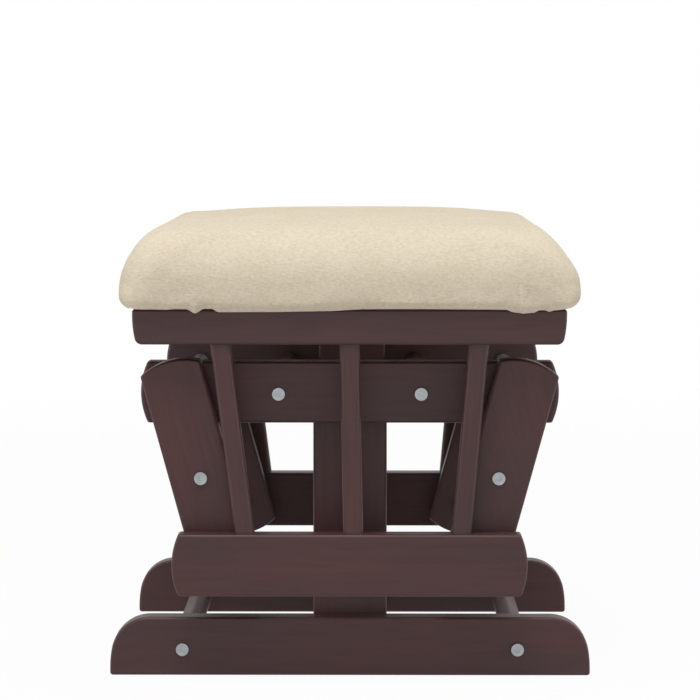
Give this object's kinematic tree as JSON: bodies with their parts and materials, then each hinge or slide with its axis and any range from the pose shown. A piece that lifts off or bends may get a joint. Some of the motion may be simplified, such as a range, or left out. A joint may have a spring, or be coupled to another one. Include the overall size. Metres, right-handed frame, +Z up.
{
  "type": "glider ottoman",
  "caption": "Wooden glider ottoman: a padded seat frame hangs from slanted swing arms on a low base and glides to and fro.",
  "frame": {"origin": "on the floor, under the middle of the base", "axes": "+X along the glide, to the right as seen from the front side frame; +Y from the front side frame to the rear one; +Z up"},
  "size_m": [0.4, 0.468, 0.3838],
  "materials": {
    "wood": "dark stained hardwood, satin lacquer",
    "cover": "tan fleece-like upholstery fabric",
    "foam": "polyurethane foam, matt",
    "panel": "raw plywood",
    "dowel": "raw beech dowel",
    "bright_steel": "bright plated steel",
    "zinc_steel": "zinc-plated steel",
    "nylon": "black nylon"
  },
  "bodies": {
    "base": {"front_foot_rail": "wood", "front_top_rail": "wood", "front_post": "wood", "rear_foot_rail": "wood", "rear_top_rail": "wood", "rear_post": "wood", "left_foot_stretcher": "wood", "left_top_stretcher": "wood", "right_foot_stretcher": "wood", "right_top_stretcher": "wood", "foot_stretcher_bolts": "bright_steel", "top_stretcher_bolts": "bright_steel", "foot_stretcher_inserts": "zinc_steel", "top_stretcher_inserts": "zinc_steel", "post_screws": "zinc_steel", "upper_pivot_bushes": "nylon"},
    "left_arms": {"front_left_arm": "wood", "rear_left_arm": "wood", "left_arm_rod": "wood", "left_arm_rod_bolts": "bright_steel", "left_arm_rod_inserts": "zinc_steel", "left_upper_pivot_bolts": "bright_steel", "left_upper_pivot_inserts": "zinc_steel", "left_lower_pivot_bushes": "nylon"},
    "right_arms": {"front_right_arm": "wood", "rear_right_arm": "wood", "right_arm_rod": "wood", "right_arm_rod_bolts": "bright_steel", "right_arm_rod_inserts": "zinc_steel", "right_upper_pivot_bolts": "bright_steel", "right_upper_pivot_inserts": "zinc_steel", "right_lower_pivot_bushes": "nylon", "right_lower_pivot_bolts": "bright_steel"},
    "seat": {"front_seat_low_rail": "wood", "front_seat_top_rail": "wood", "front_left_spindle": "wood", "front_middle_spindle": "wood", "front_right_spindle": "wood", "rear_seat_low_rail": "wood", "rear_seat_top_rail": "wood", "rear_left_spindle": "wood", "rear_middle_spindle": "wood", "rear_right_spindle": "wood", "left_cross_rail": "wood", "right_cross_rail": "wood", "cross_rail_dowels": "dowel", "left_lower_pivot_bolts": "bright_steel", "left_lower_pivot_inserts": "zinc_steel", "cushion_panel": "panel", "cushion_foam": "foam", "cushion_cover": "cover", "panel_screws": "zinc_steel"}
  },
  "joints": [
    {"name": "left_arm_swing", "type": "hinge", "parent": "base", "child": "left_arms", "pos_m": [-0.141, 0, 0.237], "axis": [0, 1, 0], "range_deg": [-23, 21]},
    {"name": "right_arm_swing", "type": "hinge", "parent": "base", "child": "right_arms", "pos_m": [0.141, 0, 0.237], "axis": [0, 1, 0], "range_deg": [-23.5, 21.5]},
    {"name": "seat_pivot", "type": "hinge", "parent": "left_arms", "child": "seat", "pos_m": [-0.1035, 0, 0.1], "axis": [0, 1, 0], "range_deg": [-29.1, 31.83]}
  ],
  "couplings": [
    {"joint": "right_arm_swing", "follows": "left_arm_swing", "ratio": 1},
    {"joint": "seat_pivot", "follows": "left_arm_swing", "ratio": -1.362}
  ]
}
